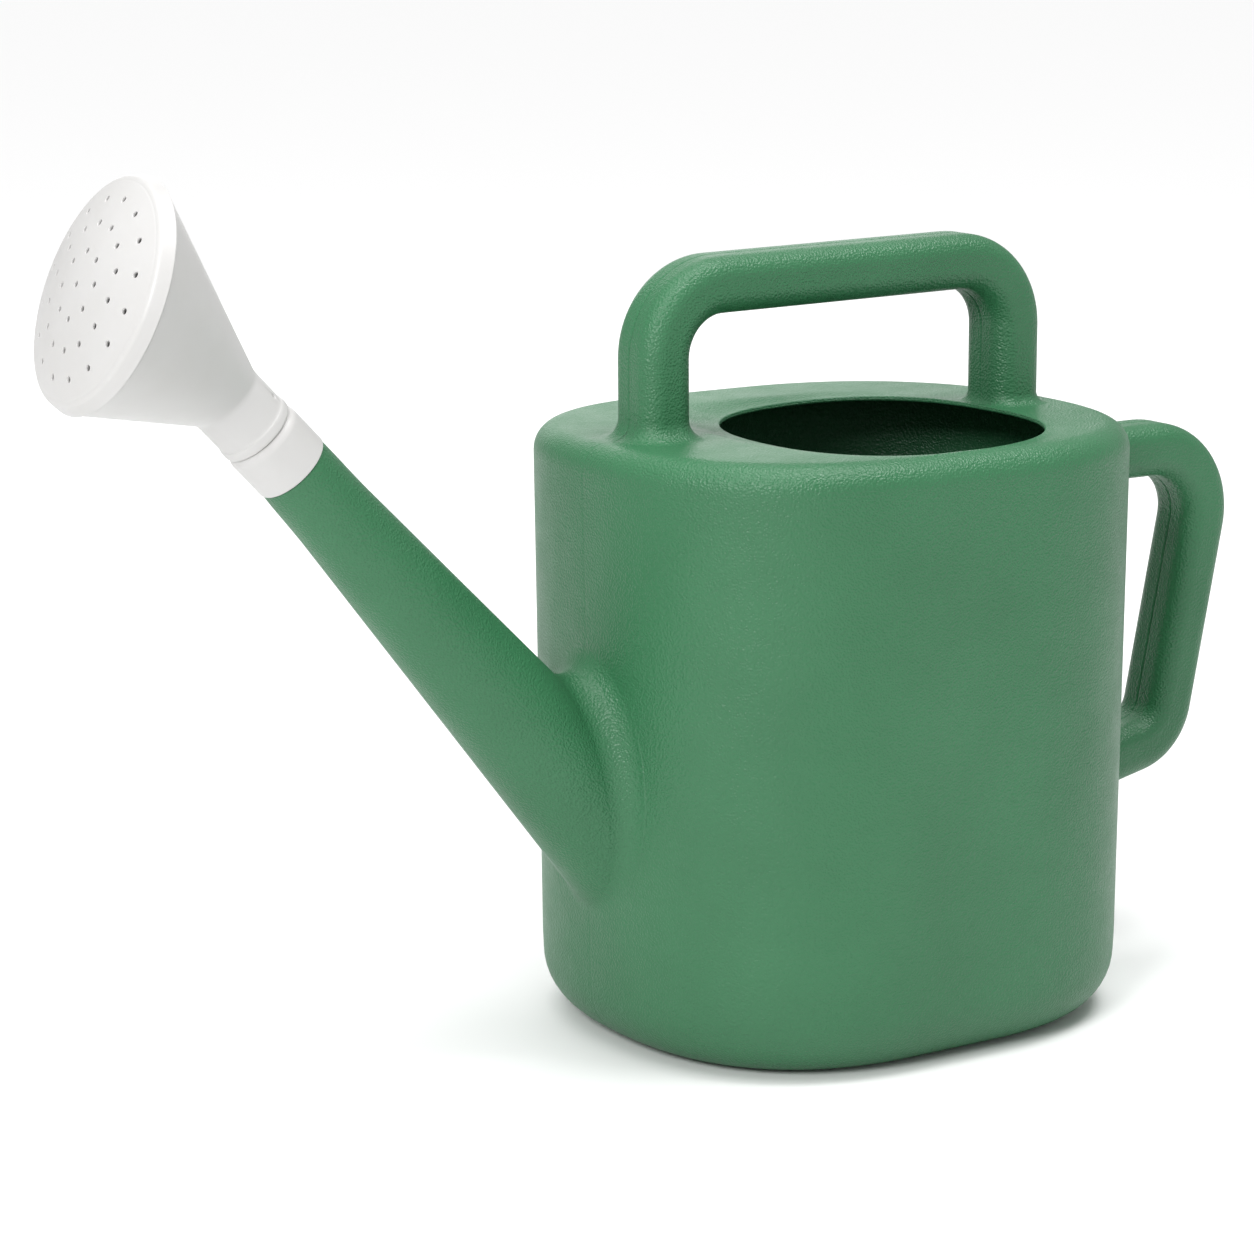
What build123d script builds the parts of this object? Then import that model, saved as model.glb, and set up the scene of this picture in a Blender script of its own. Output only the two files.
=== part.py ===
"""Ten-litre blow-moulded watering can with a swivelling, pull-off rose.

Frame: +Z up, the spout points along -X, the parting plane of the mould is y = 0,
and the origin is the centre of the flat foot. All lengths are in millimetres.
The tank, spout and both handles are one hollow moulding, kept here as four solids
that meet face to face. The rose is a collar, a seal, a neck with a cone, and a cap.
"""

from build123d import *
import math
import os

# ---- tank -------------------------------------------------------------------
TANK_HEIGHT = 250.0
HALF_LENGTH = 121.0          # at the deck, along X
HALF_WIDTH = 106.3           # at the deck, along Y
END_RADIUS = 191.8           # plan arc across each rounded end
CORNER_RADIUS = 92.2         # plan arc between an end and a flat side
DRAFT_ANGLE = 0.55           # the tank narrows towards its foot
SHOULDER_RADIUS = 11.3
FOOT_RADIUS = 25.2
WALL = 2.0

# ---- fill opening in the deck -----------------------------------------------
MOUTH_X, MOUTH_Y = 14.9, -14.0
MOUTH_HALF_LENGTH, MOUTH_HALF_WIDTH = 60.5, 72.3
MOUTH_END_RADIUS = 120.2
MOUTH_CORNER_RADIUS = 54.6

# ---- hollow handles ---------------------------------------------------------
GRIP_THICKNESS = 23.2
GRIP_WIDTH = 28.6
GRIP_CORNER = 8.5
BAR_TOP_FRONT = 321.8        # upper face of the top handle, which rises to the rear
BAR_TOP_REAR = 324.0
BAR_CENTRE_X = 0.8
BAR_HALF_SPAN = 99.8         # from the middle of the bar to a leg's outer face
TOP_BEND = 28.6              # bend radius of the top handle's centre line
REAR_TOP_Z = 222.8           # centre line of the rear handle's upper arm
REAR_REACH = 202.5           # where the upper arm and the grip's lines meet
REAR_LOW_X, REAR_LOW_Z = 176.4, 93.3
REAR_ARM_DROP = 14.9         # fall of the lower arm from the grip to the tank
REAR_ROOT_X = 107.0          # where both arms end, inside the tank wall
REAR_TOP_BEND = 29.0
REAR_LOW_BEND = 22.0

# ---- spout ------------------------------------------------------------------
TIP_X, TIP_Z = -250.48, 253.46
TIP_ANGLE = 46.8             # neck axis above the horizontal
TIP_RADIUS = 15.2
SPIGOT_RADIUS = 13.4
SPIGOT_LENGTH = 10.3
ROOT_X, ROOT_Z = -84.8, 64.3
ROOT_RADIUS = 30.5
SPOUT_WALL = 2.2

# ---- collar and seal, measured along the neck axis from the spout's shoulder --
COLLAR_RADIUS = 15.7
COLLAR_GAP = 0.2             # between the spout's shoulder and the collar
COLLAR_FRONT = 19.9
COLLAR_WEB = 15.8            # where the collar's front web starts
COLLAR_BEVEL_LENGTH = 3.0
COLLAR_BEVEL_DEPTH = 0.9
RUNNING_GAP = 0.05
SEAL_START, SEAL_END = 10.6, 12.9
SEAL_BORE = 8.2
SEAL_SQUEEZE = 0.1

# ---- rose neck and cone -------------------------------------------------------
NECK_RADIUS = 14.9
NECK_START = 20.3
NECK_END = 39.8
BEAD_RADIUS = 15.4
BEAD_LENGTH = 3.5
BEAD_BEVEL = 0.8
JOURNAL_RADIUS = 9.5
JOURNAL_START = 13.3
CATCH_RADIUS = 10.4
CATCH_LENGTH = 2.2
WATERWAY_RADIUS = 7.5
NECK_WALL = 2.4
DIMPLE_RADIUS = 1.1
DIMPLE_DEPTH = 1.2
DIMPLE_ALONG = 28.8
DIMPLE_TURN = -127.0
FACE_X, FACE_Z = -328.3, 325.6
FACE_ANGLE = 22.2            # face normal above the horizontal
CONE_RADIUS = 45.6
CONE_BACK = 5.8              # cone's rim, behind the plane of the face's edge
CONE_WALL = 2.2
LAND_RADIUS = 43.4           # the cap's skirt slides on this land
LAND_FRONT = 1.6

# ---- rose cap -----------------------------------------------------------------
CAP_BACK_RADIUS = 46.4
CAP_FRONT_RADIUS = 44.4
CAP_SKIRT = 5.5
CAP_RISE = 8.4               # height of the domed face above its edge
CAP_THICKNESS = 1.8
HOLE_RADIUS = 1.1
HOLE_STEP = 360 / 112
HOLE_RINGS = [
    (0.0, 1, 0.0),
    (13.0, 8, 2 * HOLE_STEP),
    (24.3, 14, 2 * HOLE_STEP),
    (34.8, 16, 4.5 * HOLE_STEP),
]

os.makedirs("parts", exist_ok=True)


def axis_direction(angle):
    """Unit vector in the y = 0 plane, forward along -X and up by angle degrees."""
    turn = math.radians(angle)
    return Vector(-math.cos(turn), 0, math.sin(turn))


def axial_plane(x, z, angle):
    """Plane whose normal lies along axis_direction and whose x axis is +Y."""
    return Plane(origin=(x, 0, z), x_dir=(0, 1, 0), z_dir=axis_direction(angle))


NECK = axial_plane(TIP_X, TIP_Z, TIP_ANGLE)
FACE = axial_plane(FACE_X, FACE_Z, FACE_ANGLE)


def rounded_plan(half_length, half_width, end_radius, corner_radius, inset=0.0):
    """Closed plan of two flat sides, four corner arcs and two end arcs, all tangent."""
    end_centre = half_length - end_radius
    corner_y = half_width - corner_radius
    corner_x = end_centre + math.sqrt((end_radius - corner_radius) ** 2 - corner_y**2)
    join = math.atan2(corner_y, corner_x - end_centre)
    r_corner = corner_radius - inset
    r_end = end_radius - inset

    def corner(angle):
        return corner_x + r_corner * math.cos(angle), corner_y + r_corner * math.sin(angle)

    flat_end = corner(math.pi / 2)
    mid = corner((math.pi / 2 + join) / 2)
    meet = corner(join)
    arcs = []
    for sx, sy in ((1, 1), (1, -1), (-1, -1), (-1, 1)):
        points = [(sx * x, sy * y) for x, y in (flat_end, mid, meet)]
        arcs.append(ThreePointArc(*points))
    for side in (1, -1):
        top, bottom = (side * meet[0], meet[1]), (side * meet[0], -meet[1])
        arcs.append(ThreePointArc(top, (side * (end_centre + r_end), 0), bottom))
        y = side * flat_end[1]
        arcs.append(Line((-flat_end[0], y), (flat_end[0], y)))
    return make_face(arcs)


def tank_block(inset):
    """Drafted tank with rounded shoulder and foot, drawn in by inset all round."""
    height = TANK_HEIGHT - 2 * inset
    narrowing = (TANK_HEIGHT - inset) * math.tan(math.radians(DRAFT_ANGLE))
    foot = rounded_plan(HALF_LENGTH, HALF_WIDTH, END_RADIUS, CORNER_RADIUS, inset + narrowing)
    block = extrude(Pos(0, 0, inset) * foot, height, taper=-DRAFT_ANGLE)
    deck_edges = block.faces().sort_by(Axis.Z)[-1].edges()
    block = fillet(deck_edges, SHOULDER_RADIUS - inset)
    foot_edges = block.faces().sort_by(Axis.Z)[0].edges()
    return fillet(foot_edges, FOOT_RADIUS - inset)


def handle_tube(path, inset):
    """Rounded rectangle carried along a handle's centre line."""
    section = RectangleRounded(
        GRIP_WIDTH - 2 * inset, GRIP_THICKNESS - 2 * inset, GRIP_CORNER - inset
    )
    start = Plane(origin=path @ 0, x_dir=(0, 1, 0), z_dir=path % 0)
    return sweep(start * section, path=path)


def top_path():
    """Centre line of the top handle: up one leg, along the bar and down the other."""
    leg = BAR_HALF_SPAN - GRIP_THICKNESS / 2
    front_x, rear_x = BAR_CENTRE_X - leg, BAR_CENTRE_X + leg
    front_z = BAR_TOP_FRONT - GRIP_THICKNESS / 2
    rear_z = BAR_TOP_REAR - GRIP_THICKNESS / 2
    foot_z = TANK_HEIGHT - 2 * WALL
    points = [(front_x, 0, foot_z), (front_x, 0, front_z), (rear_x, 0, rear_z), (rear_x, 0, foot_z)]
    return FilletPolyline(*points, radius=TOP_BEND)


def rear_path():
    """Centre line of the rear handle: out along the upper arm, down the grip and back."""
    points = [
        (REAR_ROOT_X, 0, REAR_TOP_Z),
        (REAR_REACH, 0, REAR_TOP_Z),
        (REAR_LOW_X, 0, REAR_LOW_Z),
        (REAR_ROOT_X, 0, REAR_LOW_Z - REAR_ARM_DROP),
    ]
    return FilletPolyline(*points, radius=[REAR_TOP_BEND, REAR_LOW_BEND])


def spout_cone(inset):
    """Tapered spout from inside the tank to the shoulder that the collar rests on."""
    root = axial_plane(ROOT_X, ROOT_Z, TIP_ANGLE) * Circle(ROOT_RADIUS - inset)
    tip = NECK * Circle(TIP_RADIUS - inset)
    return loft([root, tip])


def along(plane, start, end, radius):
    """Cylinder on a plane's axis between two distances from its origin."""
    return plane * Pos(0, 0, start) * extrude(Circle(radius), end - start)


def turned(plane, profile):
    """Solid turned about a plane's axis from (radius, distance) corners."""
    outline = make_face(Plane.XZ * Polyline(*profile, close=True))
    return plane * revolve(outline, Axis.Z)


tank_outer = tank_block(0.0)
tank_inner = tank_block(WALL)
top_inner = handle_tube(top_path(), WALL)
rear_inner = handle_tube(rear_path(), WALL)
spout_inner = spout_cone(SPOUT_WALL)
spout_bore = along(NECK, -1.0, SPIGOT_LENGTH + 1.0, TIP_RADIUS - SPOUT_WALL - 1.0)


def tank():
    """Hollow tank, open at the mouth, the spout and the feet of both handles."""
    mouth = Pos(MOUTH_X, MOUTH_Y, TANK_HEIGHT - 3 * WALL) * rounded_plan(
        MOUTH_HALF_LENGTH, MOUTH_HALF_WIDTH, MOUTH_END_RADIUS, MOUTH_CORNER_RADIUS
    )
    shell = tank_outer - tank_inner - extrude(mouth, 6 * WALL)
    return shell - spout_inner - top_inner - rear_inner


def spout():
    """Hollow spout that ends in a stepped spigot for the collar."""
    blank = spout_cone(0.0) + along(NECK, 0.0, SPIGOT_LENGTH, SPIGOT_RADIUS)
    return blank - tank_outer - spout_inner - spout_bore


def top_handle():
    """Hollow carrying handle over the deck."""
    return handle_tube(top_path(), 0.0) - tank_outer - top_inner


def rear_handle():
    """Hollow tipping handle behind the tank."""
    return handle_tube(rear_path(), 0.0) - tank_outer - rear_inner


def collar():
    """Sleeve pushed over the spout's spigot, with a web that carries the neck."""
    bore = SPIGOT_RADIUS + RUNNING_GAP
    web_bore = JOURNAL_RADIUS + RUNNING_GAP
    return turned(NECK, [
        (bore, COLLAR_GAP),
        (COLLAR_RADIUS, COLLAR_GAP),
        (COLLAR_RADIUS, COLLAR_FRONT - COLLAR_BEVEL_LENGTH),
        (COLLAR_RADIUS - COLLAR_BEVEL_DEPTH, COLLAR_FRONT),
        (web_bore, COLLAR_FRONT),
        (web_bore, COLLAR_WEB),
        (bore, COLLAR_WEB),
    ])


def sealing_ring():
    """Rubber washer squeezed into the collar, just beyond the spout's end."""
    rim = SPIGOT_RADIUS + RUNNING_GAP + SEAL_SQUEEZE
    disc = along(NECK, SEAL_START, SEAL_END, rim)
    return disc - along(NECK, SEAL_START - 1, SEAL_END + 1, SEAL_BORE)


def rose_cone():
    """Neck with its journal and catch, opening into the oblique cone."""
    neck = turned(NECK, [
        (0, JOURNAL_START),
        (CATCH_RADIUS, JOURNAL_START),
        (CATCH_RADIUS, JOURNAL_START + CATCH_LENGTH),
        (JOURNAL_RADIUS, JOURNAL_START + CATCH_LENGTH),
        (JOURNAL_RADIUS, NECK_START),
        (BEAD_RADIUS - BEAD_BEVEL, NECK_START),
        (BEAD_RADIUS, NECK_START + BEAD_BEVEL),
        (BEAD_RADIUS, NECK_START + BEAD_LENGTH - BEAD_BEVEL),
        (NECK_RADIUS, NECK_START + BEAD_LENGTH),
        (NECK_RADIUS, NECK_END),
        (0, NECK_END),
    ])
    throat = NECK * Pos(0, 0, NECK_END) * Circle(NECK_RADIUS)
    rim = FACE * Pos(0, 0, -CONE_BACK) * Circle(CONE_RADIUS)
    outside = neck + loft([throat, rim]) + along(FACE, -CONE_BACK, -LAND_FRONT, LAND_RADIUS)
    inner_rim = LAND_RADIUS - CONE_WALL
    throat_bore = NECK * Pos(0, 0, NECK_END) * Circle(NECK_RADIUS - NECK_WALL)
    rim_bore = FACE * Pos(0, 0, -CONE_BACK) * Circle(inner_rim)
    hollow = loft([throat_bore, rim_bore]) + along(FACE, -CONE_BACK, 0, inner_rim)
    waterway = along(NECK, JOURNAL_START - 1, NECK_START + NECK_WALL + 1, WATERWAY_RADIUS)
    neck_bore = along(NECK, NECK_START + NECK_WALL, NECK_END + 1, NECK_RADIUS - NECK_WALL)
    dimple = Rot(0, 0, DIMPLE_TURN) * Pos(NECK_RADIUS, 0, DIMPLE_ALONG) * Rot(0, 90, 0)
    dimple_cut = NECK * dimple * Cylinder(DIMPLE_RADIUS, 2 * DIMPLE_DEPTH)
    return outside - hollow - waterway - neck_bore - dimple_cut


def rose_cap():
    """Domed, perforated face with a tapered skirt that slides on the cone's land."""
    rise_radius = (CAP_FRONT_RADIUS**2 + CAP_RISE**2) / (2 * CAP_RISE)
    dome_centre = CAP_RISE - rise_radius
    skirt_bore = LAND_RADIUS + RUNNING_GAP
    blank = turned(FACE, [
        (0, -CAP_SKIRT),
        (CAP_BACK_RADIUS, -CAP_SKIRT),
        (CAP_FRONT_RADIUS, 0),
        (CAP_FRONT_RADIUS, CAP_RISE + 1),
        (0, CAP_RISE + 1),
    ])
    blank = blank & (FACE * Pos(0, 0, dome_centre) * Sphere(rise_radius) + along(
        FACE, -CAP_SKIRT, 0, CAP_BACK_RADIUS + 1
    ))
    pocket = along(FACE, -CAP_SKIRT - 1, CAP_RISE, skirt_bore) & (
        FACE * Pos(0, 0, dome_centre) * Sphere(rise_radius - CAP_THICKNESS)
    )
    pocket = pocket + along(FACE, -CAP_SKIRT - 1, -LAND_FRONT + 0.3, skirt_bore)
    drills = []
    for ring_radius, count, phase in HOLE_RINGS:
        for index in range(count):
            turn = phase + index * 360 / count - 90
            spot = Rot(0, 0, turn) * Pos(ring_radius, 0, CAP_RISE)
            drills.append(FACE * spot * Cylinder(HOLE_RADIUS, 4 * CAP_RISE))
    return blank - pocket - drills


PIECES = {
    "tank": tank,
    "spout": spout,
    "top_handle": top_handle,
    "rear_handle": rear_handle,
    "spout_collar": collar,
    "sealing_ring": sealing_ring,
    "rose_cone": rose_cone,
    "rose_cap": rose_cap,
}

for name, build in PIECES.items():
    shape = build()
    solids = shape.solids()
    export_step(solids[0] if len(solids) == 1 else Compound(children=solids), f"parts/{name}.step")
    print(name, "solids", len(solids), "volume", round(shape.volume))
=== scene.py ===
"""A ten-litre blow-moulded watering can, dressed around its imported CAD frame.

The can's tank, spout and two hollow handles are one moulding: each root flows into the tank
with a soft fillet, and the parting line is a fine groove in the plane y = 0. The rose is a
collar, a neck with an oblique cone, and a domed cap whose jets are real holes. Lengths are in
millimetres, and mesh_object scales them to metres.
"""

import logging
import math
from dataclasses import dataclass, field
from enum import Enum
from typing import Callable, Sequence

import bmesh
import bpy
import numpy as np
from mathutils import Matrix


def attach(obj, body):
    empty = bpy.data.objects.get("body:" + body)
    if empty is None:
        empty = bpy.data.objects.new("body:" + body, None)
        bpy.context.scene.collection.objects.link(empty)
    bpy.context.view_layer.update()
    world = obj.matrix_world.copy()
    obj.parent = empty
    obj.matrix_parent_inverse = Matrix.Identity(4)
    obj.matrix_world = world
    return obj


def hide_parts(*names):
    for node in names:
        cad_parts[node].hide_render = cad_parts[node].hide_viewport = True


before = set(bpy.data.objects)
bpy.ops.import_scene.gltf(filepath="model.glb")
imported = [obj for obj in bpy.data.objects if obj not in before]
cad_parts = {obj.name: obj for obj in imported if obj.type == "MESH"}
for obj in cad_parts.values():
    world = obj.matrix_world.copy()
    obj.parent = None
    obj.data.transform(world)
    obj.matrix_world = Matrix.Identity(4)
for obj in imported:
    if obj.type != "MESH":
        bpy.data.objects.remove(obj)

Array = np.ndarray
Field = Callable[[Array], Array]
Socket = bpy.types.NodeSocket
Piece = bpy.types.Object
Material = bpy.types.Material
Triple = tuple[float, float, float]

MM = 0.001
DENSE = 4000  # points in a loop before it is spaced out evenly
REACH = 400.0  # longest way from the end of a tube to the surface it meets
CRISP = 0.3  # rounding of a crisp moulded edge
HEM_MIN, HEM_MAX = 0.05, 1.5  # width of the hidden hem beyond a fillet
HEM_DIP = 0.05  # depth of the hem under the surface
HEM_SINK = 1.2  # how far the last hidden ring lies below the hem
Y_AXIS = np.array([0.0, 1.0, 0.0])
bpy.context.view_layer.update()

log = logging.getLogger("watering_can")


class Body(Enum):
    """The frame's bodies that the pieces ride on."""

    CAN = "can"
    COLLAR = "collar"
    ROSE = "rose"
    CAP = "cap"


class Slot(Enum):
    """The record's material slots."""

    CAN = "can_plastic"
    ROSE = "rose_plastic"
    SEAL = "seal_rubber"


# --- Geometry on grids: rings of points along v, columns round each ring along u ---


def unit(vectors: Array) -> Array:
    """Vectors divided by their own length, along the last axis."""
    return vectors / np.maximum(np.linalg.norm(vectors, axis=-1, keepdims=True), 1e-12)


def dot(a: Array, b: Array) -> Array:
    """Scalar products along the last axis, kept as a last axis of one."""
    return (a * b).sum(-1, keepdims=True)


def smooth_step(value: Array) -> Array:
    """Cubic ease from 0 to 1, held flat outside that range."""
    x = np.clip(value, 0.0, 1.0)
    return x * x * (3.0 - 2.0 * x)


def turns(count: int) -> Array:
    """Evenly spaced angles round a full turn, in radians."""
    return np.arange(count) * 2 * math.pi / count


def resample_loop(loop: Array, count: int, seam: float) -> Array:
    """Spaces a closed loop evenly by arc length, with close columns beside both seams.

    The loop starts on one seam and passes the other halfway round. Each seam gets a column
    of its own and one on either side, so that a groove can be pressed in.

    Args:
        loop: dense closed loop, shape (n, 2), without a repeated end.
        count: even number of evenly spaced columns.
        seam: distance from a seam's column to its neighbours.

    Returns:
        Points, shape (count + 4, 2).
    """
    closed = np.vstack([loop, loop[:1]])
    run = np.concatenate([[0.0], np.cumsum(np.linalg.norm(np.diff(closed, axis=0), axis=1))])
    whole = run[-1]
    even = np.arange(count) * whole / count
    close = np.array([seam, whole / 2 - seam, whole / 2 + seam, whole - seam])
    places = np.sort(np.concatenate([even, close]))
    return np.stack([np.interp(places, run, closed[:, i]) for i in range(2)], axis=1)


def superellipse(half_x: float, half_y: float, power: float, straight: float = 0.0) -> Array:
    """Dense loop |x/a|^n + |y/b|^n = 1, split at the y axis by a straight middle.

    Args:
        half_x: half length, the straight middle included.
        half_y: half width.
        power: the exponent n, 2 for an ellipse and more for squarer corners.
        straight: half length of the straight middle.

    Returns:
        Points from the +x end, anticlockwise, shape (DENSE, 2).
    """
    turn = turns(DENSE)
    cos, sin = np.cos(turn), np.sin(turn)
    x = (half_x - straight) * np.sign(cos) * np.abs(cos) ** (2 / power)
    y = half_y * np.sign(sin) * np.abs(sin) ** (2 / power)
    return np.stack([x + straight * np.sign(cos), y], axis=1)


def rounded_rectangle(half_x: float, half_y: float, radius: float) -> Array:
    """Dense loop of a rectangle with quarter-circle corners, from the middle of its +x side."""
    turn = turns(DENSE)
    quarter = np.floor(turn / (math.pi / 2))
    centre_x = (half_x - radius) * np.where((quarter == 0) | (quarter == 3), 1, -1)
    centre_y = (half_y - radius) * np.where(quarter < 2, 1, -1)
    loop = np.stack([centre_x + radius * np.cos(turn), centre_y + radius * np.sin(turn)], axis=1)
    return np.vstack([[half_x, 0.0], loop[1:]])


def loop_normals(loop: Array) -> Array:
    """Outward normals of an anticlockwise closed loop, from the chords either side."""
    chord = np.roll(loop, -1, axis=0) - np.roll(loop, 1, axis=0)
    return unit(np.stack([chord[:, 1], -chord[:, 0]], axis=1))


def grid_normals(grid: Array) -> Array:
    """Normals of a grid that is closed round u, as the cross product of its two slopes."""
    du = np.roll(grid, -1, axis=1) - np.roll(grid, 1, axis=1)
    return unit(np.cross(du, np.gradient(grid, axis=0)))


def rounded_rings(corners: Array, cuts: Sequence[float], closed: bool = False) -> Array:
    """Joins rings by straight generators and rounds each one with a quadratic Bezier.

    The curve leaves the incoming generator a cut before a ring Q and meets the outgoing one a
    cut after it: B(t) = (1-t)^2 A + 2t(1-t) Q + t^2 C. Where there is room, a ring on either
    side of the bend keeps the straight stretches flat in their shading.

    Args:
        corners: control rings, shape (k, u, 3).
        cuts: rounding length at each ring, 0 for a ring that stays as it is.
        closed: whether the last ring joins the first.

    Returns:
        Rings along v, shape (v, u, 3).
    """
    t = np.linspace(0.0, 1.0, 7)[:, None, None]
    total = len(corners)
    rings: list[Array] = []
    for index, (ring, cut) in enumerate(zip(corners, cuts)):
        if cut == 0.0 or (not closed and index in (0, total - 1)):
            rings.append(ring[None])
            continue
        sides = [corners[index - 1] - ring, corners[(index + 1) % total] - ring]
        start, end = (ring + unit(side) * cut for side in sides)
        bend = (1 - t) ** 2 * start + 2 * t * (1 - t) * ring + t**2 * end
        reach = [np.minimum(1.5 * cut, 0.5 * np.linalg.norm(side, axis=1, keepdims=True)) for side in sides]
        holds = [
            [(ring + unit(side) * hold)[None]] if (hold > 1.05 * cut).all() else []
            for side, hold in zip(sides, reach)
        ]
        rings += [*holds[0], bend, *holds[1]]
    return np.concatenate(rings)


def densify(grid: Array, longest: float) -> Array:
    """Adds rings by linear interpolation so that no span along v is longer than given."""
    spans = np.linalg.norm(np.diff(grid, axis=0), axis=2).max(axis=1)
    pieces = np.maximum(np.ceil(spans / longest).astype(int), 1)
    start = np.repeat(np.arange(len(spans)), pieces)
    step = np.concatenate([np.arange(n) / n for n in pieces])[:, None, None]
    rings = grid[start] * (1 - step) + grid[start + 1] * step
    return np.concatenate([rings, grid[-1:]])


@dataclass(frozen=True)
class Datum:
    """An axis in the plane y = 0 that rings are drawn about.

    Attributes:
        x: origin's x.
        z: origin's z.
        angle: degrees above the horizontal at which the axis leaves towards -X.
    """

    x: float
    z: float
    angle: float

    @property
    def origin(self) -> Array:
        """The point that distances are measured from."""
        return np.array([self.x, 0.0, self.z])

    @property
    def along(self) -> Array:
        """Unit vector of the axis."""
        turn = math.radians(self.angle)
        return np.array([-math.cos(turn), 0.0, math.sin(turn)])

    @property
    def up(self) -> Array:
        """Unit vector square to the axis, in the plane y = 0, on the upper side."""
        turn = math.radians(self.angle)
        return np.array([math.sin(turn), 0.0, math.cos(turn)])

    def ring(self, distance: float, radius: float, columns: int) -> Array:
        """Circle about the axis, from the upper side towards +Y."""
        turn = turns(columns)[:, None]
        round_it = radius * (np.cos(turn) * self.up + np.sin(turn) * Y_AXIS)
        return self.origin + distance * self.along + round_it

    def place(self, across: Array, side: Array, distance: Array) -> Array:
        """Points from their upward, sideways and axial distances."""
        flat = across[..., None] * self.up + side[..., None] * Y_AXIS
        return self.origin + flat + distance[..., None] * self.along


def turned(profile: Sequence[tuple[Datum, float, float, float]], columns: int) -> Array:
    """Closed skin turned from a profile of axis, distance along it, radius and rounding."""
    corners = np.stack([datum.ring(distance, radius, columns) for datum, distance, radius, _ in profile])
    return rounded_rings(corners, [cut for *_, cut in profile], closed=True)


def grid_faces(rings: int, columns: int, closed: bool) -> Array:
    """Quads of a grid that is closed round u, and along v as well if asked."""
    v = np.arange(rings if closed else rings - 1)[:, None]
    u = np.arange(columns)[None, :]
    here, above = v * columns, (v + 1) % rings * columns
    beside = (u + 1) % columns
    return np.stack([here + u, here + beside, above + beside, above + u], axis=-1).reshape(-1, 4)


def mesh_object(name: str, points: Array, faces: Sequence[Array]) -> Piece:
    """Makes a smooth-shaded mesh object at the origin from points in millimetres.

    Args:
        name: the piece's name.
        points: shape (n, 3).
        faces: arrays of quads or triangles, as indices into points.

    Returns:
        The linked object.
    """
    mesh = bpy.data.meshes.new(name)
    loops = np.concatenate([block.ravel() for block in faces])
    sizes = np.concatenate([np.full(len(block), block.shape[1]) for block in faces])
    mesh.vertices.add(len(points))
    mesh.vertices.foreach_set("co", (points * MM).ravel())
    mesh.loops.add(len(loops))
    mesh.loops.foreach_set("vertex_index", loops)
    mesh.polygons.add(len(sizes))
    mesh.polygons.foreach_set("loop_start", np.concatenate([[0], np.cumsum(sizes)[:-1]]))
    mesh.polygons.foreach_set("use_smooth", np.ones(len(sizes), dtype=bool))
    mesh.update(calc_edges=True)
    mesh.validate()
    piece = bpy.data.objects.new(name, mesh)
    bpy.context.scene.collection.objects.link(piece)
    return piece


def grid_object(name: str, grid: Array, closed: bool = False) -> Piece:
    """Closed skin over a grid: its ends are drawn together to a pole, or joined to each other."""
    rings, columns = grid.shape[:2]
    faces: list[Array] = [grid_faces(rings, columns, closed)]
    points = grid.reshape(-1, 3)
    if not closed:
        u = np.arange(columns)
        last = (rings - 1) * columns
        beside = (u + 1) % columns
        poles = np.stack([grid[0].mean(axis=0), grid[-1].mean(axis=0)])
        first_pole = np.full(columns, len(points))
        faces.append(np.stack([first_pole, beside, u], axis=1))
        faces.append(np.stack([first_pole + 1, last + u, last + beside], axis=1))
        points = np.concatenate([points, poles])
    return mesh_object(name, points, faces)


@dataclass(frozen=True)
class Ground:
    """A surface that tubes stand on.

    Attributes:
        outside: signed height of points over the surface.
        settle: moves points onto the surface.
        room: how far a fillet may spread from each point, where an edge is near.
    """

    outside: Field
    settle: Field
    room: Field = lambda points: np.full(len(points), np.inf)


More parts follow.
